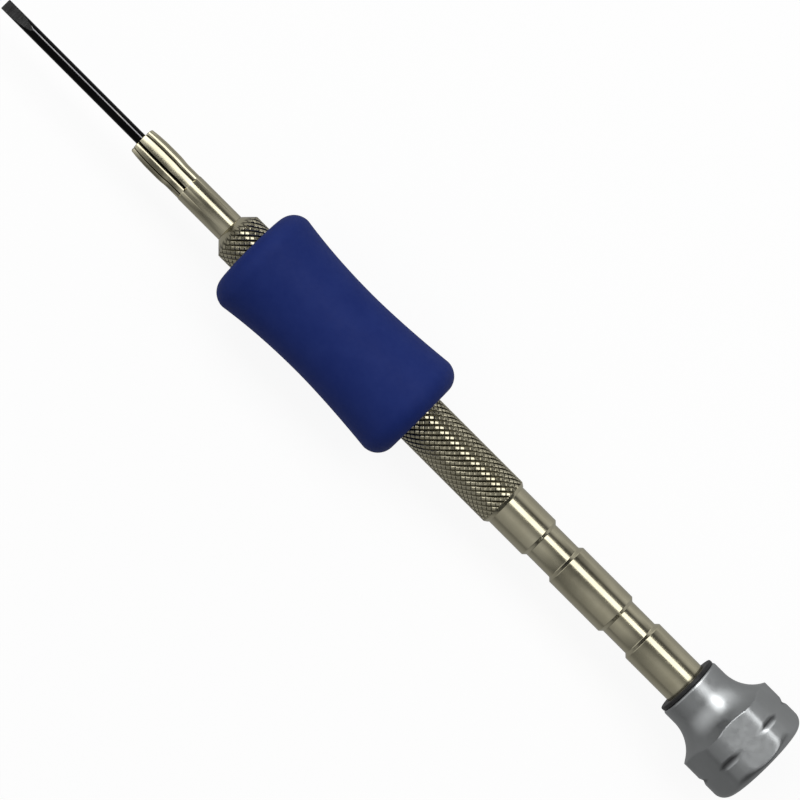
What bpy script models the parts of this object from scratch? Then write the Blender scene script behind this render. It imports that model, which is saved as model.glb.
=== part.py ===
"""Watchmaker's screwdriver with a push-in blade, a split chuck nose and a swivel head on a ball bearing.

It lies on its side along X, blade tip at -X and swivel head at +X, with one flat of the head down.
Every size is in millimetres, and every place along the tool is its distance from the blade's tip.
"""

import math

import bmesh
import bpy
from mathutils import Matrix, Vector

MM = 0.001

# Driving dimensions
LENGTH = 139.3
BLADE_RADIUS = 0.8
BLADE_EXPOSED = 25.05
BLADE_HELD = 17.85
NOSE_END = 41.25
NOSE_RADIUS = 2.08
KNURL_RADIUS = 3.57
KNURL_END = 91.9
SHAFT_RADIUS = 3.12
GROOVE_RADIUS = 2.69
GRIP_FRONT = 45.1
GRIP_REAR = 76.2
GRIP_RADIUS = 7.9
GRIP_REAR_RADIUS = 7.8
GRIP_CORNER = 2.65
GRIP_WAIST = 60.7
GRIP_WAIST_RADIUS = 7.01
RING_FRONT = 124.85
RING_WIDTH = 0.5
RING_RADIUS = 4.45
BUSH_REAR = 126.9
NECK_RADIUS = 4.58
HEAD_RADIUS = 7.44
HEAD_FLAT = 6.92

# Ball bearing, 3 mm bore, 8 mm outside and 4 mm wide
BEARING_FRONT = 129.2
BEARING_WIDTH = 4.0
BEARING_BORE = 1.5
BEARING_OUTSIDE = 4.0
BALL_COUNT = 7
BALL_RADIUS = 0.79
BALL_CIRCLE = 2.75
RACE_RADIUS = 0.85
INNER_LAND = 2.12
OUTER_LAND = 3.38

FIT = 0.02       # between pieces that are pressed or clamped together
RUNNING = 0.05   # between pieces that turn against each other
STEPS = 48       # sides of the large turned pieces
FINE_STEPS = 36  # sides of the small ones

SAW_CUTS = 4  # each goes right across the nose and makes two slots
SLOT_WIDTH = 0.3
SLOT_END = 33.6
SLOT_TURN = math.radians(16.5)

for old in list(bpy.data.objects):
    bpy.data.objects.remove(old, do_unlink=True)

screwdriver = bpy.data.collections.new("watchmaker_screwdriver")
cutters = bpy.data.collections.new("cutters")
bpy.context.scene.collection.children.link(screwdriver)
bpy.context.scene.collection.children.link(cutters)


def paint(name, colour, metallic, roughness):
    """A Principled material for one piece."""
    material = bpy.data.materials.new(name)
    material.use_nodes = True
    shader = material.node_tree.nodes["Principled BSDF"]
    shader.inputs["Base Color"].default_value = (*colour, 1.0)
    shader.inputs["Metallic"].default_value = metallic
    shader.inputs["Roughness"].default_value = roughness
    return material


NICKEL = ((0.62, 0.58, 0.50), 1.0, 0.22)
SATIN = ((0.52, 0.54, 0.54), 1.0, 0.42)
BLACK_OXIDE = ((0.03, 0.03, 0.035), 1.0, 0.25)
BLUE_SILICONE = ((0.02, 0.04, 0.19), 0.0, 0.55)
BEARING_STEEL = ((0.70, 0.70, 0.70), 1.0, 0.15)
CAGE_BRASS = ((0.72, 0.52, 0.22), 1.0, 0.35)
BLACK_ACETAL = ((0.02, 0.02, 0.02), 0.0, 0.45)
ZINC_STEEL = ((0.55, 0.57, 0.60), 1.0, 0.30)

# The axis empty carries every piece: its own Z runs along the tool, from the tip to the head.
axis = bpy.data.objects.new("tool_axis", None)
axis.location = (-LENGTH / 2 * MM, 0, GRIP_RADIUS * MM)
axis.rotation_euler = (0, math.radians(90), 0)
screwdriver.objects.link(axis)


def add(name, mesh, finish, along=0.0):
    """Puts a mesh on the tool's axis as a named piece, its origin that far from the tip."""
    piece = bpy.data.objects.new(name, mesh)
    mesh.materials.append(paint(name, *finish))
    piece.parent = axis
    piece.location = (0, 0, along * MM)
    screwdriver.objects.link(piece)
    return piece


def add_cutter(name, mesh, matrix=Matrix()):
    """A cutter on the tool's axis, left out of renders."""
    cutter = bpy.data.objects.new(name, mesh)
    cutter.parent = axis
    cutter.matrix_local = matrix
    cutter.hide_render = True
    cutter.display_type = "WIRE"
    cutters.objects.link(cutter)
    return cutter


def arc(along, radius, reach, start, end, steps):
    """Points on an arc about (along, radius), its angles in degrees from the tip's direction, 90 outwards."""
    points = []
    for step in range(steps + 1):
        angle = math.radians(start + (end - start) * step / steps)
        points.append((along - reach * math.cos(angle), radius + reach * math.sin(angle)))
    return points


def turned(name, outline, finish, steps=STEPS):
    """A turned piece. The outline's points are (distance from the tip, radius), from the rear forwards
    along the outside. One that starts on the axis ends there too; any other closes along its bore."""
    solid_core = outline[0][1] == 0
    mesh = bpy.data.meshes.new(name)
    origin = outline[0][0]
    corners = [(radius * MM, 0, (along - origin) * MM) for along, radius in outline]
    edges = [(i, i + 1) for i in range(len(corners) - 1)]
    if not solid_core:
        edges.append((len(corners) - 1, 0))
    mesh.from_pydata(corners, edges, [])
    piece = add(name, mesh, finish, origin)
    screw = piece.modifiers.new("turn", "SCREW")
    screw.axis = "Z"
    screw.angle = math.tau
    screw.steps = steps
    screw.render_steps = steps
    screw.use_merge_vertices = True
    screw.merge_threshold = 1e-6
    return piece


def cut(piece, cutter, operation="DIFFERENCE"):
    """Cuts the piece with the cutter, or keeps only what they share."""
    boolean = piece.modifiers.new(cutter.name, "BOOLEAN")
    boolean.operation = operation
    boolean.solver = "EXACT"
    boolean.object = cutter


def settle(piece):
    """Applies the piece's modifiers, then shades it smooth with its real corners sharp."""
    bpy.context.view_layer.update()
    graph = bpy.context.evaluated_depsgraph_get()
    mesh = bpy.data.meshes.new_from_object(piece.evaluated_get(graph))
    mesh.name = piece.name
    piece.modifiers.clear()
    piece.data = mesh
    mesh.shade_smooth()
    mesh.set_sharp_from_angle(angle=math.radians(28))


def box_mesh(name, size):
    """A box about its own centre, with its three sides in millimetres."""
    shape = bmesh.new()
    bmesh.ops.create_cube(shape, size=1.0, matrix=Matrix.Diagonal((*[side * MM for side in size], 1.0)))
    mesh = bpy.data.meshes.new(name)
    shape.to_mesh(mesh)
    shape.free()
    return mesh


def cylinder_mesh(name, radius, length, sides):
    """A capped cylinder or prism along Z, about its own centre."""
    shape = bmesh.new()
    bmesh.ops.create_cone(
        shape, cap_ends=True, segments=sides, radius1=radius * MM, radius2=radius * MM, depth=length * MM
    )
    mesh = bpy.data.meshes.new(name)
    shape.to_mesh(mesh)
    shape.free()
    return mesh


def make_blade():
    """A round black blade with two flats ground down to a thin square edge at the tip."""
    edge_half = 0.14
    flat_length = 5.0
    rear = BLADE_EXPOSED + BLADE_HELD
    outline = [
        (rear, 0),
        (rear, BLADE_RADIUS - 0.15),
        (rear - 0.15, BLADE_RADIUS),
        (0.06, BLADE_RADIUS),
        (0, BLADE_RADIUS - 0.06),
        (0, 0),
    ]
    blade = turned("blade", outline, BLACK_OXIDE, 24)
    slope = math.atan2(BLADE_RADIUS - edge_half, flat_length)
    stone = 4.0
    for side in (1, -1):
        mesh = box_mesh("blade_flat", (stone, stone, 3 * flat_length))
        lean = Matrix.Rotation(side * slope, 4, "Y")
        start = Vector((side * edge_half * MM, 0, 0))
        outwards = Matrix.Translation((side * stone / 2 * MM, 0, 0))
        cut(blade, add_cutter("blade_flat", mesh, Matrix.Translation(start) @ lean @ outwards))
    settle(blade)


def make_chuck_nose():
    """A slim spring nose, split into eight jaws that grip the blade, with a plain stem inside the handle."""
    front = BLADE_EXPOSED
    stem_end = 52.0
    stem_radius = 1.6
    bore = BLADE_RADIUS + 0.03
    bore_end = BLADE_EXPOSED + BLADE_HELD + 0.2
    jaw_radius = 2.0
    belly_radius = 2.21
    belly = [
        (31.4, NOSE_RADIUS),
        (30.4, belly_radius - 0.01),
        (29.1, belly_radius),
        (27.8, belly_radius),
        (26.3, 2.13),
    ]
    outline = [
        (stem_end, 0),
        (stem_end, stem_radius - 0.2),
        (stem_end - 0.2, stem_radius),
        (NOSE_END - FIT, stem_radius),
        (NOSE_END - FIT, NOSE_RADIUS),
        *belly,
        (front + 0.15, jaw_radius),
        (front, jaw_radius - 0.15),
        (front, bore + 0.1),
        (front + 0.1, bore),
        (bore_end, bore),
        (bore_end + 0.5, 0),
    ]
    nose = turned("chuck_nose", outline, NICKEL)
    slot_length = SLOT_END - front + 1.0
    middle = SLOT_END - slot_length / 2
    for number in range(SAW_CUTS):
        turn = SLOT_TURN + math.pi * number / SAW_CUTS
        mesh = box_mesh("jaw_slot", (3 * NOSE_RADIUS, SLOT_WIDTH, slot_length))
        place = Matrix.Translation((0, 0, middle * MM)) @ Matrix.Rotation(turn, 4, "Z")
        cut(nose, add_cutter("jaw_slot", mesh, place))
    settle(nose)


def make_handle_body():
    """The turned handle: cone, long knurled barrel, three finger lands with two grooves, and the spigot
    that carries the bearing. Its knurl is left plain here, at the height of the teeth."""
    stem_hole = 1.65
    stem_hole_end = 52.4
    cone = KNURL_RADIUS - (NOSE_RADIUS + 0.05)
    chamfer = 0.45
    land_ends = ((103.0, 112.0), (97.95, KNURL_END))
    neck_start = 117.0
    seat_radius = 2.05
    seat_front = 128.3
    spigot_end = BEARING_FRONT + BEARING_WIDTH - 0.3
    screw_hole = 0.82
    screw_hole_end = spigot_end - 5.6
    spigot = BEARING_BORE
    outline = [
        (spigot_end, screw_hole),
        (spigot_end, spigot - 0.1),
        (spigot_end - 0.1, spigot),
        (BEARING_FRONT - FIT, spigot),
        (BEARING_FRONT - FIT, seat_radius),
        (seat_front, seat_radius),
        (seat_front, SHAFT_RADIUS - 0.2),
        (seat_front - 0.2, SHAFT_RADIUS),
        (neck_start, SHAFT_RADIUS),
        (neck_start - chamfer, GROOVE_RADIUS),
        (land_ends[0][1] + chamfer, GROOVE_RADIUS),
        (land_ends[0][1], SHAFT_RADIUS),
        (land_ends[0][0], SHAFT_RADIUS),
        (land_ends[0][0] - chamfer, GROOVE_RADIUS),
        (land_ends[1][0] + chamfer, GROOVE_RADIUS),
        (land_ends[1][0], SHAFT_RADIUS),
        (KNURL_END, SHAFT_RADIUS),
        (KNURL_END, KNURL_RADIUS - 0.2),
        (KNURL_END - 0.3, KNURL_RADIUS),
        (NOSE_END + cone, KNURL_RADIUS),
        (NOSE_END, NOSE_RADIUS + 0.05),
        (NOSE_END, stem_hole + 0.1),
        (NOSE_END + 0.1, stem_hole),
        (stem_hole_end, stem_hole),
        (stem_hole_end + 0.9, 0),
    ]
    # The rear hole closes on the axis too, so the outline starts there.
    rear_hole = [(screw_hole_end - 0.45, 0), (screw_hole_end, screw_hole)]
    settle(turned("handle_body", rear_hole + outline, NICKEL))


def grip_radius(along):
    """Radius of the grip between its two swellings: a shallow waist, steeper towards the front."""
    from_waist = along - GRIP_WAIST
    if from_waist < 0:
        return GRIP_WAIST_RADIUS + (GRIP_RADIUS - GRIP_WAIST_RADIUS) * (
            from_waist / (GRIP_FRONT + GRIP_CORNER - GRIP_WAIST)
        ) ** 2.15
    return GRIP_WAIST_RADIUS + (GRIP_REAR_RADIUS - GRIP_WAIST_RADIUS) * (
        from_waist / (GRIP_REAR - GRIP_CORNER - GRIP_WAIST)
    ) ** 1.65


def make_grip_sleeve():
    """The soft sleeve pushed over the knurl, waisted, with flat ends and round corners."""
    bore = KNURL_RADIUS + RUNNING
    front = GRIP_FRONT + GRIP_CORNER
    rear = GRIP_REAR - GRIP_CORNER
    outline = [(GRIP_REAR, bore)]
    outline += reversed(arc(rear, GRIP_REAR_RADIUS - GRIP_CORNER, GRIP_CORNER, 90, 180, 4))
    for share in (0.88, 0.7, 0.5, 0.3, 0.12):
        along = front + (rear - front) * share
        outline.append((along, grip_radius(along)))
    outline += reversed(arc(front, GRIP_RADIUS - GRIP_CORNER, GRIP_CORNER, 0, 90, 4))
    outline.append((GRIP_FRONT, bore))
    settle(turned("grip_sleeve", outline, BLUE_SILICONE))


def make_swivel_head():
    """The palm head: a neck, a hollow flare and a wide end with six anti-roll flats, bored for the bearing."""
    bore = BEARING_OUTSIDE
    bearing_rear = BEARING_FRONT + BEARING_WIDTH
    screw_room = 3.3
    screw_room_end = 135.7
    front = RING_FRONT + RING_WIDTH + FIT
    lip = 0.3
    flare = 5.3
    flare_start = 127.4
    flare_turn = math.degrees(math.acos((NECK_RADIUS + flare - HEAD_RADIUS) / flare))
    corner = 1.7
    groove = 135.4
    groove_half = 0.6
    groove_depth = 0.25
    outline = [(LENGTH, 0)]
    outline += reversed(arc(LENGTH - corner, HEAD_RADIUS - corner, corner, 90, 180, 4))
    outline += [
        (groove + groove_half, HEAD_RADIUS),
        (groove, HEAD_RADIUS - groove_depth),
        (groove - groove_half, HEAD_RADIUS),
    ]
    outline += arc(flare_start, NECK_RADIUS + flare, flare, -90 - flare_turn, -90, 6)
    outline += reversed(arc(front + lip, NECK_RADIUS - lip, lip, 0, 90, 2))
    outline += [
        (front, bore),
        (bearing_rear + FIT, bore),
        (bearing_rear + FIT, screw_room),
        (screw_room_end, screw_room),
        (screw_room_end + 0.9, 0),
    ]
    head = turned("swivel_head", outline, SATIN)
    flats = 6
    middle = (front + LENGTH) / 2
    hexagon = cylinder_mesh("head_flats", HEAD_FLAT / math.cos(math.pi / flats), 2 * LENGTH / flats, flats)
    cut(head, add_cutter("head_flats", hexagon, Matrix.Translation((0, 0, middle * MM))), "INTERSECT")
    settle(head)


def make_neck_bush():
    """The black bush in the neck's mouth, which steadies the head on the shaft. Its rim covers the neck's end."""
    outside = BEARING_OUTSIDE - FIT
    inside = SHAFT_RADIUS + RUNNING
    rim_rear = RING_FRONT + RING_WIDTH
    corner = 0.15
    outline = [
        (BUSH_REAR, inside),
        (BUSH_REAR, outside),
        (rim_rear, outside),
        (rim_rear, RING_RADIUS),
        (RING_FRONT + corner, RING_RADIUS),
        (RING_FRONT, RING_RADIUS - corner),
        (RING_FRONT, inside + 0.1),
        (RING_FRONT + 0.1, inside),
    ]
    settle(turned("neck_bush", outline, BLACK_ACETAL))


def make_spacer_sleeve():
    """The thin tube that holds the bearing's outer ring against its shoulder."""
    outside = BEARING_OUTSIDE - FIT
    inside = 3.42
    front = BUSH_REAR + FIT
    rear = BEARING_FRONT - FIT
    outline = [(rear, inside), (rear, outside), (front, outside), (front, inside)]
    settle(turned("spacer_sleeve", outline, ZINC_STEEL))


def make_bearing():
    """A shielded ball bearing: two grooved rings, a cage with its balls, and two thin shields."""
    front = BEARING_FRONT
    rear = BEARING_FRONT + BEARING_WIDTH
    middle = (front + rear) / 2
    inner_rise = math.degrees(math.asin((BALL_CIRCLE - INNER_LAND) / RACE_RADIUS))
    outer_rise = math.degrees(math.asin((OUTER_LAND - BALL_CIRCLE) / RACE_RADIUS))
    inner_race = arc(middle, BALL_CIRCLE, RACE_RADIUS, 180 + inner_rise, 360 - inner_rise, 6)
    outer_race = arc(middle, BALL_CIRCLE, RACE_RADIUS, outer_rise, 180 - outer_rise, 6)
    bore = BEARING_BORE + FIT
    outline = [(rear, bore), (rear, INNER_LAND), *inner_race, (front, INNER_LAND), (front, bore)]
    settle(turned("bearing_inner_ring", outline, BEARING_STEEL, FINE_STEPS))

    outside = BEARING_OUTSIDE - FIT
    shield_seat = OUTER_LAND + 0.17
    seat_depth = 0.3
    outline = [
        (rear, outside),
        (front, outside),
        (front, shield_seat),
        (front + seat_depth, shield_seat),
        (front + seat_depth, OUTER_LAND),
        *outer_race,
        (rear - seat_depth, OUTER_LAND),
        (rear - seat_depth, shield_seat),
        (rear, shield_seat),
    ]
    settle(turned("bearing_outer_ring", outline, BEARING_STEEL))

    shield = 0.14
    inset = 0.07
    inside = INNER_LAND + RUNNING
    around = shield_seat - FIT
    for place, along in (("front", front + inset), ("rear", rear - inset - shield)):
        outline = [
            (along + shield, inside),
            (along + shield, around),
            (along, around),
            (along, inside),
        ]
        settle(turned("bearing_shield_" + place, outline, BEARING_STEEL))

    cage_half = 1.15
    cage_inside = 2.48
    cage_outside = 3.02
    outline = [
        (middle + cage_half, cage_inside),
        (middle + cage_half, cage_outside),
        (middle - cage_half, cage_outside),
        (middle - cage_half, cage_inside),
    ]
    cage = turned("bearing_cage", outline, CAGE_BRASS, FINE_STEPS)
    ball = bmesh.new()
    bmesh.ops.create_uvsphere(ball, u_segments=14, v_segments=8, radius=BALL_RADIUS * MM)
    ball_mesh = bpy.data.meshes.new("bearing_ball")
    ball.to_mesh(ball_mesh)
    ball.free()
    ball_mesh.shade_smooth()
    for number in range(BALL_COUNT):
        turn = Matrix.Rotation(math.tau * number / BALL_COUNT, 4, "Z")
        outwards = turn @ Vector((BALL_CIRCLE * MM, 0, 0))
        pocket = cylinder_mesh("ball_pocket", BALL_RADIUS + 0.07, 2.0, 20)
        upright = Matrix.Rotation(math.radians(90), 4, "Y")
        place = Matrix.Translation(outwards + Vector((0, 0, middle * MM))) @ turn @ upright
        cut(cage, add_cutter("ball_pocket", pocket, place))
        ball_piece = add("bearing_ball_%d" % (number + 1), ball_mesh.copy(), BEARING_STEEL, middle)
        ball_piece.location += outwards
    settle(cage)


def make_bearing_screw():
    """The slotted screw and its washer, which clamp the bearing's inner ring on the spigot."""
    washer_front = BEARING_FRONT + BEARING_WIDTH + FIT
    washer_rear = washer_front + 0.3
    hole = 0.86
    rim = 2.0
    outline = [(washer_rear, hole), (washer_rear, rim), (washer_front, rim), (washer_front, hole)]
    settle(turned("screw_washer", outline, ZINC_STEEL, FINE_STEPS))

    seat = washer_rear + FIT
    top = seat + 1.0
    head_radius = 1.5
    thread_radius = 0.8
    thread_end = BEARING_FRONT - 1.0
    outline = [
        (top, 0),
        (top, head_radius - 0.2),
        (top - 0.2, head_radius),
        (seat, head_radius),
        (seat, thread_radius),
        (thread_end, thread_radius),
        (thread_end - 0.3, thread_radius - 0.3),
        (thread_end - 0.3, 0),
    ]
    screw = turned("bearing_screw", outline, ZINC_STEEL, FINE_STEPS)
    slot = box_mesh("screw_slot", (0.4, 4.0, 1.0))
    cut(screw, add_cutter("screw_slot", slot, Matrix.Translation((0, 0, top * MM))))
    settle(screw)


make_blade()
make_chuck_nose()
make_handle_body()
make_grip_sleeve()
make_swivel_head()
make_neck_bush()
make_spacer_sleeve()
make_bearing()
make_bearing_screw()
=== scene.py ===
"""The looks of the watchmaker's screwdriver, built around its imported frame.

Places along the tool are millimetres from the blade's tip, radii are millimetres from the tool's axis, and
angles about the axis run from straight up (+Z) towards +Y.
"""

import math

import bmesh
import bpy
from mathutils import Matrix, Vector


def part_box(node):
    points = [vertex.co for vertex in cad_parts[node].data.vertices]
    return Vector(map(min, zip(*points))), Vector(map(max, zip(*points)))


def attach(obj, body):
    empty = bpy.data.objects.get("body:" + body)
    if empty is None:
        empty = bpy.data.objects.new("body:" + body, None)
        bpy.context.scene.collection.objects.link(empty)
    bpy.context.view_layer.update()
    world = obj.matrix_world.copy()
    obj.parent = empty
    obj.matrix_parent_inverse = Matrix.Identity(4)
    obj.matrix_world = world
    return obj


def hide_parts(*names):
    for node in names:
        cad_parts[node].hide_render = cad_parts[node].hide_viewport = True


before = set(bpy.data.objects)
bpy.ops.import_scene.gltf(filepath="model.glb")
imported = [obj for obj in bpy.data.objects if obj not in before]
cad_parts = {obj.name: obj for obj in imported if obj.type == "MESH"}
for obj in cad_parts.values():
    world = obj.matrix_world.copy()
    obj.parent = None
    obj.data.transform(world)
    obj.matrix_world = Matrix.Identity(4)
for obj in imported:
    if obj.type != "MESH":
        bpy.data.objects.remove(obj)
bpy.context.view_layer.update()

MM = 0.001
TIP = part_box("blade")[0][0]
AXIS_HEIGHT = (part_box("swivel_head")[0][2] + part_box("swivel_head")[1][2]) / 2


def front_of(node):
    """Where a node starts, in millimetres from the blade's tip."""
    return (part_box(node)[0][0] - TIP) / MM


def rear_of(node):
    """Where a node ends, in millimetres from the blade's tip."""
    return (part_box(node)[1][0] - TIP) / MM


def radius_of(node):
    """A node's largest radius in millimetres."""
    low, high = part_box(node)
    return (high[1] - low[1]) / 2 / MM


# Driving sizes of the visible pieces, in millimetres. Their ends come from the frame.
BLADE_RADIUS = radius_of("blade")
NOSE_RADIUS = 2.08
KNURL_RADIUS = 3.57
SHAFT_RADIUS = 3.12
GROOVE_RADIUS = 2.69
GRIP_CORNER = 2.65
HEAD_RADIUS = 7.44
HEAD_FLAT = 6.92  # from the axis to each flat
NECK_RADIUS = 4.58
BEARING_REAR = rear_of("bearing_outer_ring")
JAWS = 8
SLOT_WIDTH = 0.36
SLOT_END = 33.6
SLOT_TURN = math.radians(-16.5)  # where the first slit between the jaws lies


# ---------------------------------------------------------------- geometry

def place(along, radius, angle):
    """The world position of a point given by its place along the tool, its radius and its angle."""
    y = radius * math.sin(angle)
    z = radius * math.cos(angle)
    return Vector((TIP + along * MM, y * MM, AXIS_HEIGHT + z * MM))


def soften(outline, steps=4):
    """Rounds an outline's corners: each is (along, radius, reach), its reach the length of edge taken up."""
    points = []
    for number, (along, radius, reach) in enumerate(outline):
        corner = Vector((along, radius))
        if reach == 0:
            points.append((along, radius))
            continue
        before = Vector(outline[number - 1][:2])
        after = Vector(outline[(number + 1) % len(outline)][:2])
        start = corner + (before - corner).normalized() * reach
        end = corner + (after - corner).normalized() * reach
        for step in range(steps + 1):
            share = step / steps
            points.append(tuple(start.lerp(corner, share).lerp(corner.lerp(end, share), share)))
    return points


def arc(along, radius, reach, start, end, steps):
    """Points on an arc about (along, radius), its angles in degrees from the tip's direction, 90 outwards."""
    points = []
    for step in range(steps + 1):
        angle = math.radians(start + (end - start) * step / steps)
        points.append((along - reach * math.cos(angle), radius + reach * math.sin(angle)))
    return points


def evenly(start, end, step):
    """Places from start to end, about one step apart, both ends included."""
    count = max(1, round((end - start) / step))
    return [start + (end - start) * number / count for number in range(count + 1)]


def finish_piece(name, shape, body, slot, replaced, *materials, sharp=28):
    """Turns a bmesh into a named piece that stands for a CAD node and rides on its body."""
    bmesh.ops.remove_doubles(shape, verts=shape.verts, dist=1e-8)
    bmesh.ops.recalc_face_normals(shape, faces=shape.faces)
    mesh = bpy.data.meshes.new(name)
    shape.to_mesh(mesh)
    shape.free()
    for material in materials:
        mesh.materials.append(material)
    mesh.shade_smooth()
    mesh.set_sharp_from_angle(angle=math.radians(sharp))
    piece = bpy.data.objects.new(name, mesh)
    bpy.context.scene.collection.objects.link(piece)
    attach(piece, body)
    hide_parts(replaced)
    return piece


def revolve(outline, sides, closed=False, shaping=None, lattice=None):
    """A bmesh turned about the tool's axis from an outline of (along, radius) points.

    shaping(along, radius, angle) gives the real radius and how deep the point lies in a groove, from 0 to 1.
    lattice(along) gives the row number of a knurled row, whose squares are split along the knurl's own lines.
    """
    shape = bmesh.new()
    depth = shape.verts.layers.float.new("cavity")
    rows = []
    for along, radius in outline:
        row = []
        for side in range(sides if radius > 0 else 1):
            angle = math.tau * side / sides
            reach, cavity = shaping(along, radius, angle) if shaping else (radius, 0.0)
            point = shape.verts.new(place(along, reach, angle))
            point[depth] = cavity
            row.append(point)
        rows.append(row)
    pairs = list(zip(range(len(rows)), range(1, len(rows))))
    if closed:
        pairs.append((len(rows) - 1, 0))
    for here, there in pairs:
        knurled = lattice(outline[here][0]) if lattice else None
        near, far = rows[here], rows[there]
        for side in range(sides):
            after = side + 1
            a = near[side % len(near)]
            b = near[after % len(near)]
            c = far[after % len(far)]
            d = far[side % len(far)]
            if knurled is None:
                shape.faces.new(list(dict.fromkeys((a, b, c, d))))
            elif (knurled + side) % 2:
                shape.faces.new((a, b, d))
                shape.faces.new((b, c, d))
            else:
                shape.faces.new((a, b, c))
                shape.faces.new((a, c, d))
    return shape


# ---------------------------------------------------------------- materials

class Painter:
    """Short calls for building one material's nodes."""

    def __init__(self, name):
        self.material = bpy.data.materials.new(name)
        self.material.use_nodes = True
        self.tree = self.material.node_tree
        self.shader = self.tree.nodes["Principled BSDF"]
        self.coordinates = self.tree.nodes.new("ShaderNodeTexCoord").outputs["Object"]

    def link(self, source, target):
        self.tree.links.new(source, target)

    def noise(self, scale, detail=3.0, stretch=(1, 1, 1), rough=0.55):
        """A noise pattern in the object's own space, with so many features to the metre."""
        mapping = self.tree.nodes.new("ShaderNodeMapping")
        mapping.inputs["Scale"].default_value = stretch
        self.link(self.coordinates, mapping.inputs["Vector"])
        texture = self.tree.nodes.new("ShaderNodeTexNoise")
        texture.inputs["Scale"].default_value = scale
        texture.inputs["Detail"].default_value = detail
        texture.inputs["Roughness"].default_value = rough
        self.link(mapping.outputs["Vector"], texture.inputs["Vector"])
        return texture.outputs["Fac"]

    def attribute(self, name):
        node = self.tree.nodes.new("ShaderNodeAttribute")
        node.attribute_name = name
        return node.outputs["Fac"]

    def remap(self, value, low, high, start, end):
        """Stretches a value from low..high to start..end, clamped."""
        node = self.tree.nodes.new("ShaderNodeMapRange")
        node.inputs["From Min"].default_value = low
        node.inputs["From Max"].default_value = high
        node.inputs["To Min"].default_value = start
        node.inputs["To Max"].default_value = end
        self.link(value, node.inputs["Value"])
        return node.outputs["Result"]

    def mix(self, share, first, second):
        """Mixes two colours; either may be a socket or an (r, g, b)."""
        node = self.tree.nodes.new("ShaderNodeMix")
        node.data_type = "RGBA"
        self.link(share, node.inputs["Factor"])
        for socket, colour in ((node.inputs[6], first), (node.inputs[7], second)):
            if isinstance(colour, tuple):
                socket.default_value = (*colour, 1.0)
            else:
                self.link(colour, socket)
        return node.outputs[2]

    def bump(self, height, strength, distance, before=None):
        """Adds a fine relief, its distance in millimetres, on top of another one if there is one."""
        node = self.tree.nodes.new("ShaderNodeBump")
        node.inputs["Strength"].default_value = strength
        node.inputs["Distance"].default_value = distance * MM
        self.link(height, node.inputs["Height"])
        if before:
            self.link(before, node.inputs["Normal"])
        return node.outputs["Normal"]

    def set(self, **values):
        """Sets the shader's sockets; a socket given is linked and a number or colour is set."""
        for name, value in values.items():
            socket = self.shader.inputs[name.replace("_", " ")]
            if isinstance(value, bpy.types.NodeSocket):
                self.link(value, socket)
            elif isinstance(value, tuple):
                socket.default_value = (*value, 1.0)
            else:
                socket.default_value = value


def nickel_look():
    """Warm nickel plate over turned brass: fine tool marks, a faint tarnish, and painted shade deep in the
    knurl's grooves and the nose's slits.
    """
    paint = Painter("nickel_plate_look")
    tarnish = paint.remap(paint.noise(260, 4), 0.35, 0.7, 0.0, 1.0)
    plate = paint.mix(tarnish, (0.72, 0.675, 0.50), (0.63, 0.585, 0.42))
    # painted shade: the deeper a point lies in a knurl groove, and all over the nose's slit walls, the darker
    # its colour
    painted_recess_shade = paint.remap(paint.attribute("cavity"), 0.1, 0.55, 0.0, 0.88)
    colour = paint.mix(painted_recess_shade, plate, (0.075, 0.068, 0.048))
    tool_marks = paint.noise(1400, 2, (9.0, 0.25, 0.25))
    smear = paint.noise(500, 4)
    relief = paint.bump(tool_marks, 0.06, 0.004)
    relief = paint.bump(smear, 0.07, 0.008, relief)
    paint.set(Base_Color=colour, Metallic=1.0, Normal=relief)
    paint.set(Roughness=paint.remap(paint.noise(900, 3), 0.3, 0.7, 0.13, 0.21))
    return paint.material


def satin_look():
    """Bead-blasted, clear-anodised aluminium of the palm head, with painted shade in its groove."""
    paint = Painter("satin_head_look")
    cloud = paint.remap(paint.noise(180, 4), 0.35, 0.65, 0.0, 1.0)
    clean = paint.mix(cloud, (0.47, 0.485, 0.49), (0.42, 0.435, 0.44))
    # painted shade: the groove's cavity mark darkens the colour
    painted_groove_shade = paint.remap(paint.attribute("cavity"), 0.15, 0.7, 0.0, 0.8)
    colour = paint.mix(painted_groove_shade, clean, (0.09, 0.092, 0.095))
    blast = paint.bump(paint.noise(5200, 2), 0.22, 0.012)
    scuffs = paint.bump(paint.noise(700, 5, (0.4, 2.0, 2.0)), 0.12, 0.01, blast)
    paint.set(Base_Color=colour, Metallic=1.0, Normal=scuffs)
    paint.set(Roughness=paint.remap(paint.noise(1300, 3), 0.3, 0.7, 0.33, 0.42))
    return paint.material


def black_oxide_look():
    """Glossy black oxide on hardened steel, a little thinner in places."""
    paint = Painter("black_oxide_look")
    thin = paint.remap(paint.noise(420, 4), 0.5, 0.8, 0.0, 1.0)
    colour = paint.mix(thin, (0.020, 0.020, 0.021), (0.034, 0.033, 0.031))
    drawn = paint.bump(paint.noise(1600, 2, (0.08, 2.0, 2.0)), 0.08, 0.004)
    paint.set(Base_Color=colour, Metallic=1.0, Normal=drawn)
    paint.set(Roughness=paint.remap(paint.noise(1200, 3), 0.3, 0.7, 0.09, 0.15))
    return paint.material


def ground_steel_look():
    """The tip's ground flats: dull grey steel with fine grinding lines across the blade."""
    paint = Painter("ground_steel_look")
    lines = paint.noise(2600, 3, (2.2, 0.12, 0.4))
    colour = paint.mix(paint.remap(lines, 0.3, 0.7, 0.0, 1.0), (0.024, 0.024, 0.024), (0.012, 0.012, 0.012))
    paint.set(Base_Color=colour, Metallic=1.0, Normal=paint.bump(lines, 0.3, 0.006))
    paint.set(Roughness=paint.remap(paint.noise(900, 3), 0.3, 0.7, 0.32, 0.44))
    return paint.material


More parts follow.
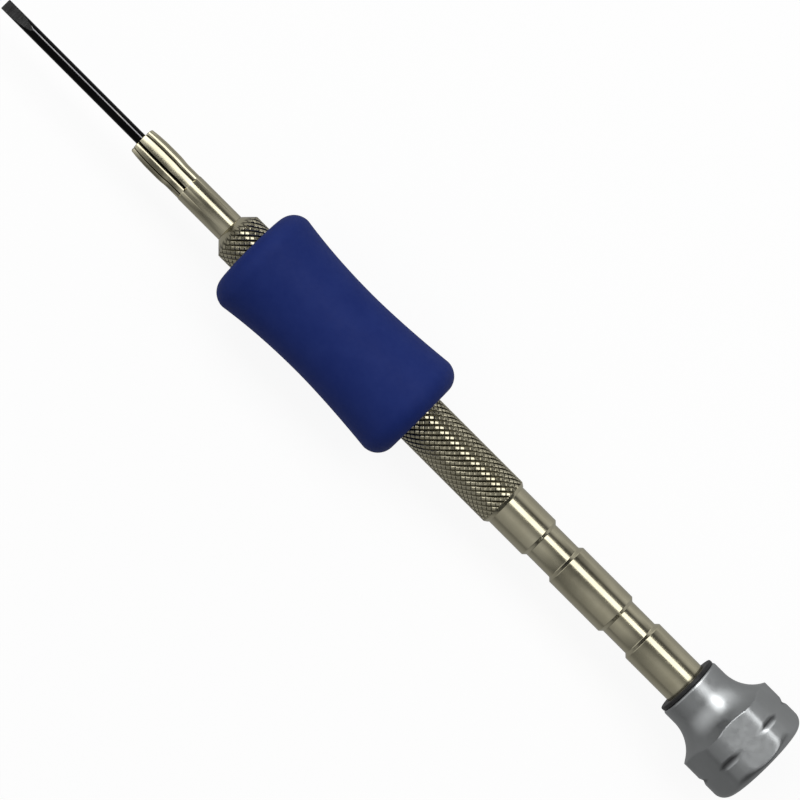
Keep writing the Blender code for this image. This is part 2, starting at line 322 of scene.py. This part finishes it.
def silicone_look():
    """Matte deep blue silicone with a moulded grain and a faint mottling from handling."""
    paint = Painter("blue_silicone_look")
    mottle = paint.remap(paint.noise(320, 5), 0.32, 0.68, 0.0, 1.0)
    colour = paint.mix(mottle, (0.0115, 0.0305, 0.202), (0.0155, 0.0365, 0.219))
    grain = paint.bump(paint.noise(3800, 3), 0.35, 0.02)
    swell = paint.bump(paint.noise(420, 3), 0.18, 0.05, grain)
    paint.set(Base_Color=colour, Metallic=0.0, Normal=swell, Specular_IOR_Level=0.2)
    paint.set(Roughness=paint.remap(paint.noise(1500, 3), 0.3, 0.7, 0.56, 0.68))
    return paint.material


def acetal_look():
    """Black acetal of the bush in the neck's mouth."""
    paint = Painter("black_acetal_look")
    rub = paint.noise(1500, 3, (0.5, 1.5, 1.5))
    colour = paint.mix(paint.remap(rub, 0.35, 0.7, 0.0, 1.0), (0.015, 0.015, 0.016), (0.030, 0.030, 0.032))
    paint.set(Base_Color=colour, Metallic=0.0, Normal=paint.bump(rub, 0.2, 0.01))
    paint.set(Roughness=paint.remap(rub, 0.3, 0.7, 0.38, 0.5))
    return paint.material


def plain_metal_look(name, light, dark, smooth, coarse):
    """A turned or pressed inner metal piece: two close tones and fine tool marks."""
    paint = Painter(name)
    marks = paint.noise(1800, 3, (5.0, 0.4, 0.4))
    colour = paint.mix(paint.remap(marks, 0.3, 0.7, 0.0, 1.0), light, dark)
    paint.set(Base_Color=colour, Metallic=1.0, Normal=paint.bump(marks, 0.15, 0.004))
    paint.set(Roughness=paint.remap(paint.noise(900, 3), 0.3, 0.7, smooth, coarse))
    return paint.material


# ---------------------------------------------------------------- visible pieces

def make_blade(black, ground):
    """The round blade, its tip ground to a thin wedge whose two flats run out in a long curve."""
    edge_half = 0.14
    flat_length = 5.0
    bevel = 0.06
    rear = rear_of("blade")
    rear_chamfer = 0.15
    across = 12
    around = 24
    shape = bmesh.new()

    def section(along, radius):
        """One ring of points: along the upper flat, round one side, back along the lower flat and round."""
        half = min(radius, edge_half + (BLADE_RADIUS - edge_half) * along / flat_length)
        lean = math.asin(math.sqrt(max(0.0, 1 - (half / radius) ** 2)))
        points = []
        for upper in (1, -1):
            for step in range(across):
                y = radius * math.sin(lean) * (2 * step / across - 1)
                points.append((y * upper, half * upper))
            for step in range(around):
                angle = lean + (math.pi - 2 * lean) * step / around
                points.append((radius * math.sin(angle) * upper, radius * math.cos(angle) * upper))
        ring = []
        for y, z in points:
            ring.append(shape.verts.new((TIP + along * MM, y * MM, AXIS_HEIGHT + z * MM)))
        return ring

    places = [(0.0, BLADE_RADIUS - bevel), (0.25 * bevel, BLADE_RADIUS - 0.35 * bevel), (bevel, BLADE_RADIUS)]
    places += [(along, BLADE_RADIUS) for along in evenly(0.2, flat_length, 0.16)]
    places += [(along, BLADE_RADIUS) for along in evenly(flat_length + 0.3, rear - rear_chamfer, 2.0)]
    places.append((rear, BLADE_RADIUS - rear_chamfer))
    rings = [section(along, radius) for along, radius in places]
    for number in range(len(rings) - 1):
        near, far = rings[number], rings[number + 1]
        count = len(near)
        for side in range(count):
            after = (side + 1) % count
            face = shape.faces.new((near[side], near[after], far[after], far[side]))
            flat = side % (across + around) < across and places[number + 1][0] <= flat_length
            face.material_index = 1 if flat else 0
    tip_face = shape.faces.new(rings[0])
    tip_face.material_index = 1
    shape.faces.new(rings[-1])
    return finish_piece("blade_ground", shape, "blade", "black_oxide", "blade", black, ground)


def make_nose(nickel):
    """The spring nose. Its front is slit into eight jaws, each a little flatter than the round and with
    bevelled edges, the first one less than the others. The slits end in a square wall."""
    front = front_of("chuck_nose")
    front_radius = 1.98
    belly = [(31.4, NOSE_RADIUS), (30.4, 2.20), (29.1, 2.21), (27.8, 2.21), (26.3, 2.13)]
    shoulder = front_of("handle_body") - 0.02
    stem_end = rear_of("chuck_nose")
    stem_radius = 1.6
    bore = BLADE_RADIUS + 0.03
    bore_end = rear_of("blade") + 0.2
    bore_chamfer = 0.1
    drill_point = 0.5
    # the bevels' widths are shares of a jaw's width, and their slopes are millimetres for a whole width
    bevel_share = 0.34
    first_bevel_share = 0.10
    bevel_slope = 0.95
    edge_share = 0.10
    edge_slope = 0.7
    flatness = 3.0
    fade = 0.22
    skin_limit = 1.9
    jaw_turn = math.tau / JAWS
    half_shares = sorted({0.0, 0.05, first_bevel_share, edge_share, 0.20, 0.28, bevel_share, 0.42})
    shares = [*half_shares, 0.5, *[1 - share for share in reversed(half_shares)]]
    outline = soften([
        (stem_end, 0, 0), (stem_end, stem_radius, 0.2), (shoulder, stem_radius, 0),
        (shoulder, NOSE_RADIUS, 0.05), (SLOT_END + fade, NOSE_RADIUS, 0),
        (SLOT_END + fade / 2, NOSE_RADIUS, 0), (SLOT_END, NOSE_RADIUS, 0),
        *[(along, radius, 0.4) for along, radius in belly],
        (front, front_radius, 0.13), (front, bore + bore_chamfer, 0), (front + bore_chamfer, bore, 0),
        (SLOT_END, bore, 0), (bore_end, bore, 0), (bore_end + drill_point, 0, 0),
    ], 3)
    slit_rows = [number for number, point in enumerate(outline) if point[0] == SLOT_END]
    slit_start, slit_end = slit_rows

    def jaw_height(turn):
        """How far a flattened jaw stands from the axis at this turn from its middle, to one scale."""
        rise = 1 - flatness
        return rise * math.cos(turn) + math.sqrt(flatness ** 2 - (rise * math.sin(turn)) ** 2)

    def jaw_reach(along, radius, share, width, bevel):
        """The radius of a jaw's outside at this share of its width; behind the slits it fades to round."""
        slit = 1 - min(1.0, max(0.0, (along - SLOT_END) / fade))
        flat = jaw_height(width * (share - 0.5)) / jaw_height(width / 2)
        from_edge = min(share, 1 - share)
        drop = bevel_slope * max(0.0, bevel - from_edge)
        if bevel == bevel_share:
            drop += edge_slope * max(0.0, edge_share - from_edge)
        return radius * (1 + (flat - 1) * slit) - drop * slit

    shape = bmesh.new()
    depth = shape.faces.layers.float.new("cavity")
    rows = []
    for number, (along, radius) in enumerate(outline):
        if radius == 0:
            rows.append([shape.verts.new(place(along, 0, 0))])
            continue
        half_slot = math.asin(SLOT_WIDTH / 2 / radius)
        width = jaw_turn - 2 * half_slot
        outside = radius > skin_limit and number <= slit_end
        row = []
        for jaw in range(JAWS):
            bevel = bevel_share if jaw else first_bevel_share
            for share in shares:
                reach = jaw_reach(along, radius, share, width, bevel) if outside else radius
                angle = SLOT_TURN + jaw * jaw_turn + half_slot + width * share
                row.append(shape.verts.new(place(along, reach, angle)))
        rows.append(row)
    columns = len(shares)
    count = columns * JAWS
    for number in range(len(rows) - 1):
        near, far = rows[number], rows[number + 1]
        slit = slit_start <= number < slit_end
        for column in range(count):
            if slit and (column + 1) % columns == 0:
                continue
            after = column + 1
            corners = (near[column % len(near)], near[after % len(near)])
            corners += (far[after % len(far)], far[column % len(far)])
            shape.faces.new(list(dict.fromkeys(corners)))
    # the slits' walls and floor carry a full cavity mark, which the nickel look turns into painted shade
    for jaw in range(JAWS):
        last = jaw * columns + columns - 1
        first = (last + 1) % count
        for column in (last, first):
            wall = [rows[number][column] for number in range(slit_start, slit_end + 1)]
            shape.faces.new(wall)[depth] = 1.0
        outer, inner = rows[slit_start], rows[slit_end]
        shape.faces.new((outer[last], outer[first], inner[first], inner[last]))[depth] = 1.0
    bmesh.ops.triangulate(shape, faces=[face for face in shape.faces if len(face.verts) > 4])
    finish_piece("nose_jaws", shape, "handle", "nickel_plate", "chuck_nose", nickel)


def make_handle(nickel):
    """The turned handle: cone, diamond knurl, finger lands and grooves, and the spigot for the bearing."""
    starts = 24
    rows_per_pitch = 12
    sides = rows_per_pitch * starts
    pitch = math.tau * KNURL_RADIUS / starts
    row_step = pitch / rows_per_pitch
    # the two sets of grooves cross: half widths as shares of the pitch, and depths
    shares = (1 / 6, 1 / 4)
    depths = (0.05, 0.16)
    front = front_of("handle_body")
    rear = rear_of("handle_body")
    cone_foot = NOSE_RADIUS + 0.05
    plain_cone = 0.5
    knurl_start = front + 0.9
    knurl_end = 91.4
    step_end = 91.9
    hidden_start = front_of("grip_sleeve") + 0.5
    hidden_end = rear_of("grip_sleeve") - 0.6
    grooves = [(97.95, 103.0), (112.0, 117.0)]
    chamfer = 0.45
    collar_front = 128.3
    collar_radius = 2.05
    collar_rear = front_of("bearing_inner_ring") - 0.02
    spigot = 1.5
    stem_hole = 1.65
    stem_hole_end = 52.4
    stem_drill_point = 0.9
    screw_hole = 0.82
    screw_hole_depth = 5.6
    screw_drill_point = 0.45

    def lattice(along):
        """The knurl's row number here, or None outside the knurl."""
        row = along / row_step
        knurled = knurl_start < along < hidden_start or hidden_end < along < knurl_end
        return round(row) if knurled and abs(row - round(row)) < 0.01 else None

    def shaping(along, radius, angle):
        """Cuts the two crossing sets of grooves into the knurl."""
        if lattice(along) is None or radius < NOSE_RADIUS:
            return radius, 0.0
        turns = starts * angle / math.tau
        steps = along / pitch
        deepest = 0.0
        # the second value tells how far into a groove a point lies; the nickel look darkens it by that with
        # painted shade
        painted_shade_share = 0.0
        for line, share, depth in zip((turns + steps, turns - steps), shares, depths):
            groove = max(0.0, 1 - abs(line - round(line)) / share)
            deepest = max(deepest, depth * groove)
            painted_shade_share = max(painted_shade_share, groove)
        return min(radius, KNURL_RADIUS - deepest), painted_shade_share

    def knurled_rows(start, end):
        """The outline's points between two places on the knurl or on the cone in front of it."""
        first = math.ceil(start / row_step)
        last = math.floor(end / row_step)
        rows = []
        for number in range(first, last + 1):
            along = number * row_step
            rows.append((along, min(KNURL_RADIUS, cone_foot + along - front)))
        return rows

    outline = [(stem_hole_end + stem_drill_point, 0), (stem_hole_end, stem_hole)]
    outline += [(front + 0.1, stem_hole), (front, stem_hole + 0.1)]
    outline += [(front, NOSE_RADIUS + 0.02), (front + 0.03, NOSE_RADIUS + 0.06)]
    outline += [(front + plain_cone, cone_foot + plain_cone)]
    outline += knurled_rows(knurl_start + 0.05, hidden_start)
    outline += [(hidden_start + 0.1, KNURL_RADIUS), (hidden_end - 0.1, KNURL_RADIUS)]
    outline += knurled_rows(hidden_end, knurl_end)
    shaft = [(knurl_end + 0.05, KNURL_RADIUS - 0.05, 0)]
    shaft += [(step_end, SHAFT_RADIUS + 0.1, 0.05), (step_end, SHAFT_RADIUS, 0.05)]
    for start, end in grooves:
        shaft += [(start, SHAFT_RADIUS, 0.05), (start + chamfer, GROOVE_RADIUS, 0.06)]
        shaft += [(end - chamfer, GROOVE_RADIUS, 0.06), (end, SHAFT_RADIUS, 0.05)]
    shaft += [(collar_front, SHAFT_RADIUS, 0.2), (collar_front, collar_radius, 0)]
    shaft += [(collar_rear, collar_radius, 0), (collar_rear, spigot, 0)]
    shaft += [(rear, spigot, 0.1), (rear, screw_hole, 0)]
    shaft += [(rear - screw_hole_depth, screw_hole, 0)]
    shaft += [(rear - screw_hole_depth - screw_drill_point, 0, 0)]
    outline += soften(shaft, 3)
    shape = revolve(outline, sides, shaping=shaping, lattice=lattice)
    finish_piece("handle_turned", shape, "handle", "nickel_plate", "handle_body", nickel, sharp=22)


def make_grip(silicone):
    """The soft sleeve: waisted, with flat ends and generous round corners."""
    bore = KNURL_RADIUS + 0.05
    front = front_of("grip_sleeve")
    rear = rear_of("grip_sleeve")
    front_radius = radius_of("grip_sleeve")
    rear_radius = front_radius - 0.1
    waist = 60.7
    waist_radius = 7.01
    front_swell = front + GRIP_CORNER
    rear_swell = rear - GRIP_CORNER
    front_curve = 2.15
    rear_curve = 1.65
    outline = [(front, bore)]
    outline += arc(front_swell, front_radius - GRIP_CORNER, GRIP_CORNER, 0, 90, 18)
    for along in evenly(front_swell, rear_swell, 0.4)[1:-1]:
        if along < waist:
            share = ((waist - along) / (waist - front_swell)) ** front_curve
            outline.append((along, waist_radius + (front_radius - waist_radius) * share))
        else:
            share = ((along - waist) / (rear_swell - waist)) ** rear_curve
            outline.append((along, waist_radius + (rear_radius - waist_radius) * share))
    outline += arc(rear_swell, rear_radius - GRIP_CORNER, GRIP_CORNER, 90, 180, 18)
    outline += [(rear, bore)]
    shape = revolve(outline, 160, closed=True)
    finish_piece("grip_soft", shape, "handle", "blue_silicone", "grip_sleeve", silicone, sharp=40)


def make_head(satin):
    """The palm head: a lipped neck, a hollow flare and a wide end with six soft-edged flats and a groove."""
    front = front_of("swivel_head")
    rear = rear_of("swivel_head")
    bore = 4.0
    bore_end = BEARING_REAR + 0.02
    screw_room = 3.3
    screw_room_end = 135.7
    drill_point = 0.9
    lip = 0.45
    flare = 5.3
    flare_start = 127.4
    flare_turn = math.degrees(math.acos((NECK_RADIUS + flare - HEAD_RADIUS) / flare))
    flare_end = flare_start + flare * math.sin(math.radians(flare_turn))
    corner = 1.7
    groove = 135.4
    groove_half = 0.6
    groove_depth = 0.25
    brim = 0.1
    blend = 0.24
    flats = 6

    def shaping(along, radius, angle):
        """Meets the round profile and the nearest flat in a soft edge; the groove is marked as a cavity, for
        its painted shade.
        """
        if radius < NECK_RADIUS:
            return radius, 0.0
        turn = math.tau / flats
        from_flat = (angle + turn / 2) % turn - turn / 2
        flat = HEAD_FLAT / math.cos(from_flat)
        share = min(1.0, max(0.0, 0.5 + (flat - radius) / blend / 2))
        in_groove = max(0.0, 1 - abs(along - groove) / groove_half)
        return flat + (radius - flat) * share - blend * share * (1 - share), in_groove * share

    outline = [(screw_room_end + drill_point, 0), (screw_room_end, screw_room)]
    outline += [(bore_end, screw_room), (bore_end, bore)]
    outline += soften([(front, bore, 0.08), (front, NECK_RADIUS - lip, 0)], 3)[:-1]
    outline += arc(front + lip, NECK_RADIUS - lip, lip, 0, 90, 8)
    outline += [(along, NECK_RADIUS) for along in evenly(front + lip, flare_start, 0.3)[1:-1]]
    outline += reversed(arc(flare_start, NECK_RADIUS + flare, flare, -90 - flare_turn, -90, 44))
    groove_front = groove - groove_half
    groove_rear = groove + groove_half
    outline += [(along, HEAD_RADIUS) for along in evenly(flare_end, groove_front - brim, 0.2)[1:]]
    outline += soften([
        (groove_front - brim, HEAD_RADIUS, 0), (groove_front, HEAD_RADIUS, brim),
        (groove, HEAD_RADIUS - groove_depth, 0.15), (groove_rear, HEAD_RADIUS, brim),
        (groove_rear + brim, HEAD_RADIUS, 0),
    ], 3)[1:]
    outline += [(along, HEAD_RADIUS) for along in evenly(groove_rear + 2 * brim, rear - corner, 0.2)[:-1]]
    outline += arc(rear - corner, HEAD_RADIUS - corner, corner, 90, 180, 24)
    outline += [(rear, radius) for radius in (4.5, 3.0, 1.5, 0)]
    shape = revolve(outline, 288, shaping=shaping)
    return finish_piece("palm_head", shape, "head", "satin_head", "swivel_head", satin, sharp=35)


def make_bush(acetal):
    """The black bush in the neck's mouth: its rim covers the neck's end, and a lead-in takes the shaft."""
    front = front_of("neck_bush")
    rear = rear_of("neck_bush")
    rim = radius_of("neck_bush")
    rim_rear = front_of("swivel_head") - 0.02
    outside = 3.98
    inside = SHAFT_RADIUS + 0.05
    outline = soften([
        (front, inside, 0.12), (front, rim, 0.2), (rim_rear, rim, 0.03), (rim_rear, outside, 0),
        (rear, outside, 0.03), (rear, inside, 0.03),
    ])
    shape = revolve(outline, 144, closed=True)
    finish_piece("neck_ring", shape, "head", "black_acetal", "neck_bush", acetal)


def dress_inner_pieces():
    """Gives the bearing, its screw, washer and spacer their own procedural metals."""
    steel = plain_metal_look("bearing_steel_look", (0.72, 0.72, 0.72), (0.62, 0.62, 0.63), 0.10, 0.16)
    brass = plain_metal_look("cage_brass_look", (0.75, 0.55, 0.25), (0.62, 0.43, 0.18), 0.28, 0.38)
    zinc = plain_metal_look("zinc_steel_look", (0.58, 0.60, 0.64), (0.48, 0.50, 0.53), 0.24, 0.34)
    looks = {"bearing_cage": brass, "spacer_sleeve": zinc, "screw_washer": zinc, "bearing_screw": zinc}
    replaced = {"blade", "chuck_nose", "handle_body", "grip_sleeve", "swivel_head", "neck_bush"}
    for name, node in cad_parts.items():
        if name in replaced:
            continue
        node.data.materials.clear()
        node.data.materials.append(looks.get(name, steel))


# ---------------------------------------------------------------- studio

VIEW_TURN = math.radians(-4)  # the camera looks down this far from upright, about the tool's axis
UP_ACROSS = Vector((0, math.sin(VIEW_TURN), math.cos(VIEW_TURN)))  # from the tool towards the camera
ACROSS = Vector((0, math.cos(VIEW_TURN), -math.sin(VIEW_TURN)))    # square to it and to the tool's axis
ALONG = Vector((1, 0, 0))
AIM = Vector((0.00296, 0, AXIS_HEIGHT)) - ACROSS * 0.00014  # the middle of the view


def make_camera():
    """A long lens above the tool, turned so that the tool lies corner to corner."""
    distance = 0.54
    lens_per_metre = 346.5  # keeps the view as wide when the distance changes
    data = bpy.data.cameras.new("studio_camera")
    data.sensor_width = 36
    data.lens = distance * lens_per_metre
    data.clip_start = 0.01
    data.clip_end = 20
    camera = bpy.data.objects.new("studio_camera", data)
    right = (ALONG + ACROSS).normalized()
    up = (ACROSS - ALONG).normalized()
    turn = Matrix((right, up, UP_ACROSS)).transposed().to_4x4()
    camera.matrix_world = Matrix.Translation(AIM + UP_ACROSS * distance) @ turn
    bpy.context.scene.collection.objects.link(camera)
    bpy.context.scene.camera = camera


def soft_box(name, lean, tip_lean, width, length, strength, distance=0.5, only=None):
    """A soft box aimed at the tool: it leans from upright towards +Y, and towards the tip, in degrees.

    Its width runs across the tool and its length along it, in metres; strength is its brightness. A box
    made for one piece only lights nothing else, as if it were flagged off.
    """
    data = bpy.data.lights.new(name, "AREA")
    data.shape = "RECTANGLE"
    data.size = length
    data.size_y = width
    data.energy = strength * math.pi * width * length
    light = bpy.data.objects.new(name, data)
    lean = math.radians(lean)
    tip_lean = math.radians(tip_lean)
    level = Vector((0, math.sin(lean), math.cos(lean)))
    side = Vector((0, math.cos(lean), -math.sin(lean)))
    away = level * math.cos(tip_lean) - ALONG * math.sin(tip_lean)
    along = side.cross(away)
    turn = Matrix((along, side, away)).transposed().to_4x4()
    light.matrix_world = Matrix.Translation(AIM + away * distance) @ turn
    light.visible_camera = False
    if only:
        lit = bpy.data.collections.new(name + "_reach")
        lit.objects.link(only)
        light.light_linking.receiver_collection = lit
    bpy.context.scene.collection.objects.link(light)


def set_greys(ramp, stops):
    """Sets a colour ramp to greys; each stop is (place, brightness), its place from -1 to 1."""
    points = ramp.color_ramp.elements
    while len(points) < len(stops):
        points.new(0.5)
    for point, (stop, brightness) in zip(points, stops):
        point.position = (stop + 1) / 2
        point.color = (brightness, brightness, brightness, 1)


def make_world():
    """A pale room for the camera; in reflections, a grey studio with darker gaps between its walls."""
    world = bpy.data.worlds.new("studio_world")
    bpy.context.scene.world = world
    world.use_nodes = True
    tree = world.node_tree
    link = tree.links.new
    direction = tree.nodes.new("ShaderNodeTexCoord").outputs["Generated"]
    parts = tree.nodes.new("ShaderNodeSeparateXYZ")
    link(direction, parts.inputs[0])
    turn = tree.nodes.new("ShaderNodeMath")
    turn.operation = "ARCTAN2"
    link(parts.outputs["Y"], turn.inputs[0])
    link(parts.outputs["Z"], turn.inputs[1])
    share = tree.nodes.new("ShaderNodeMapRange")
    share.inputs["From Min"].default_value = -math.pi
    share.inputs["From Max"].default_value = math.pi
    link(turn.outputs[0], share.inputs["Value"])
    ramp = tree.nodes.new("ShaderNodeValToRGB")
    link(share.outputs["Result"], ramp.inputs["Fac"])
    # how bright the studio is at each angle from the camera's side, in degrees towards +Y
    walls = [
        (-150, 0.20), (-95, 0.20), (-89, 0.12), (-84, 0.21), (-60, 0.26), (-44, 0.30), (-29, 0.36),
        (-14, 0.31), (0, 0.185), (15, 0.175), (50, 0.15), (56, 0.07), (63, 0.07), (72, 0.30), (84, 0.40),
        (110, 0.42), (170, 0.42),
    ]
    set_greys(ramp, [((angle + math.degrees(VIEW_TURN)) / 180, brightness) for angle, brightness in walls])
    # how bright it is from the tip's side, -1, to the head's side, 1
    ends = tree.nodes.new("ShaderNodeMapRange")
    ends.inputs["From Min"].default_value = -1.0
    link(parts.outputs["X"], ends.inputs["Value"])
    fall = tree.nodes.new("ShaderNodeValToRGB")
    link(ends.outputs["Result"], fall.inputs["Fac"])
    set_greys(fall, [
        (-0.96, 0.03), (-0.86, 0.50), (-0.6, 1.0), (-0.35, 0.84), (-0.15, 0.20), (-0.06, 0.155), (0.06, 0.37),
        (0.11, 0.45), (0.3, 0.42), (0.5, 0.24), (0.72, 0.07),
    ])
    studio = tree.nodes.new("ShaderNodeBackground")
    link(ramp.outputs["Color"], studio.inputs["Color"])
    strength = tree.nodes.new("ShaderNodeMath")
    strength.operation = "MULTIPLY"
    strength.inputs[1].default_value = 2.8
    link(fall.outputs["Color"], strength.inputs[0])
    link(strength.outputs[0], studio.inputs["Strength"])
    room = tree.nodes["Background"]
    room.inputs["Color"].default_value = (0.93, 0.93, 0.93, 1)
    choose = tree.nodes.new("ShaderNodeMixShader")
    link(tree.nodes.new("ShaderNodeLightPath").outputs["Is Camera Ray"], choose.inputs["Fac"])
    link(studio.outputs["Background"], choose.inputs[1])
    link(room.outputs["Background"], choose.inputs[2])
    link(choose.outputs["Shader"], tree.nodes["World Output"].inputs["Surface"])


def make_floor():
    """A wide pale table top. It looks nearly white, and in the metal it mirrors as a painted mid-grey glow.
    """
    floor_radius = 3.0
    shape = bmesh.new()
    bmesh.ops.create_circle(shape, cap_ends=True, segments=96, radius=floor_radius)
    mesh = bpy.data.meshes.new("table_top")
    shape.to_mesh(mesh)
    shape.free()
    floor = bpy.data.objects.new("table_top", mesh)
    bpy.context.scene.collection.objects.link(floor)
    material = bpy.data.materials.new("table_top_look")
    material.use_nodes = True
    tree = material.node_tree
    link = tree.links.new
    tree.nodes.remove(tree.nodes["Principled BSDF"])
    own = tree.nodes.new("ShaderNodeEmission")
    own.inputs["Color"].default_value = (0.91, 0.91, 0.91, 1)
    lit = tree.nodes.new("ShaderNodeBsdfDiffuse")
    lit.inputs["Color"].default_value = (0.13, 0.13, 0.13, 1)
    seen = tree.nodes.new("ShaderNodeAddShader")
    link(own.outputs[0], seen.inputs[0])
    link(lit.outputs[0], seen.inputs[1])
    # in reflections and bounced light it is a painted glow, with painted shade on the side that faces away
    # from the soft boxes
    painted_mirror_glow = tree.nodes.new("ShaderNodeEmission")
    place_on = tree.nodes.new("ShaderNodeSeparateXYZ")
    link(tree.nodes.new("ShaderNodeTexCoord").outputs["Object"], place_on.inputs[0])
    painted_side_shade = tree.nodes.new("ShaderNodeMapRange")
    painted_side_shade.inputs["From Min"].default_value = -0.05
    painted_side_shade.inputs["From Max"].default_value = 0.05
    painted_side_shade.inputs["To Min"].default_value = 0.17
    painted_side_shade.inputs["To Max"].default_value = 0.43
    link(place_on.outputs["Y"], painted_side_shade.inputs["Value"])
    link(painted_side_shade.outputs["Result"], painted_mirror_glow.inputs["Strength"])
    choose = tree.nodes.new("ShaderNodeMixShader")
    link(tree.nodes.new("ShaderNodeLightPath").outputs["Is Camera Ray"], choose.inputs["Fac"])
    link(painted_mirror_glow.outputs[0], choose.inputs[1])
    link(seen.outputs[0], choose.inputs[2])
    link(choose.outputs[0], tree.nodes["Material Output"].inputs["Surface"])
    mesh.materials.append(material)


nickel = nickel_look()
blade = make_blade(black_oxide_look(), ground_steel_look())
make_nose(nickel)
make_handle(nickel)
make_grip(silicone_look())
head = make_head(satin_look())
make_bush(acetal_look())
dress_inner_pieces()
make_camera()
soft_box("key_strip", 27, 0, 0.22, 1.5, 1.75)
soft_box("tip_side_box", 30, 23, 0.28, 0.36, 4.0, 0.6, only=head)
soft_box("head_side_box", 62, 12, 0.22, 0.4, 0.8, 0.65, only=head)
soft_box("blade_strip", 33, 0, 0.14, 1.5, 19.0, 0.45, only=blade)
make_world()
make_floor()
bpy.context.scene.view_settings.view_transform = "Standard"
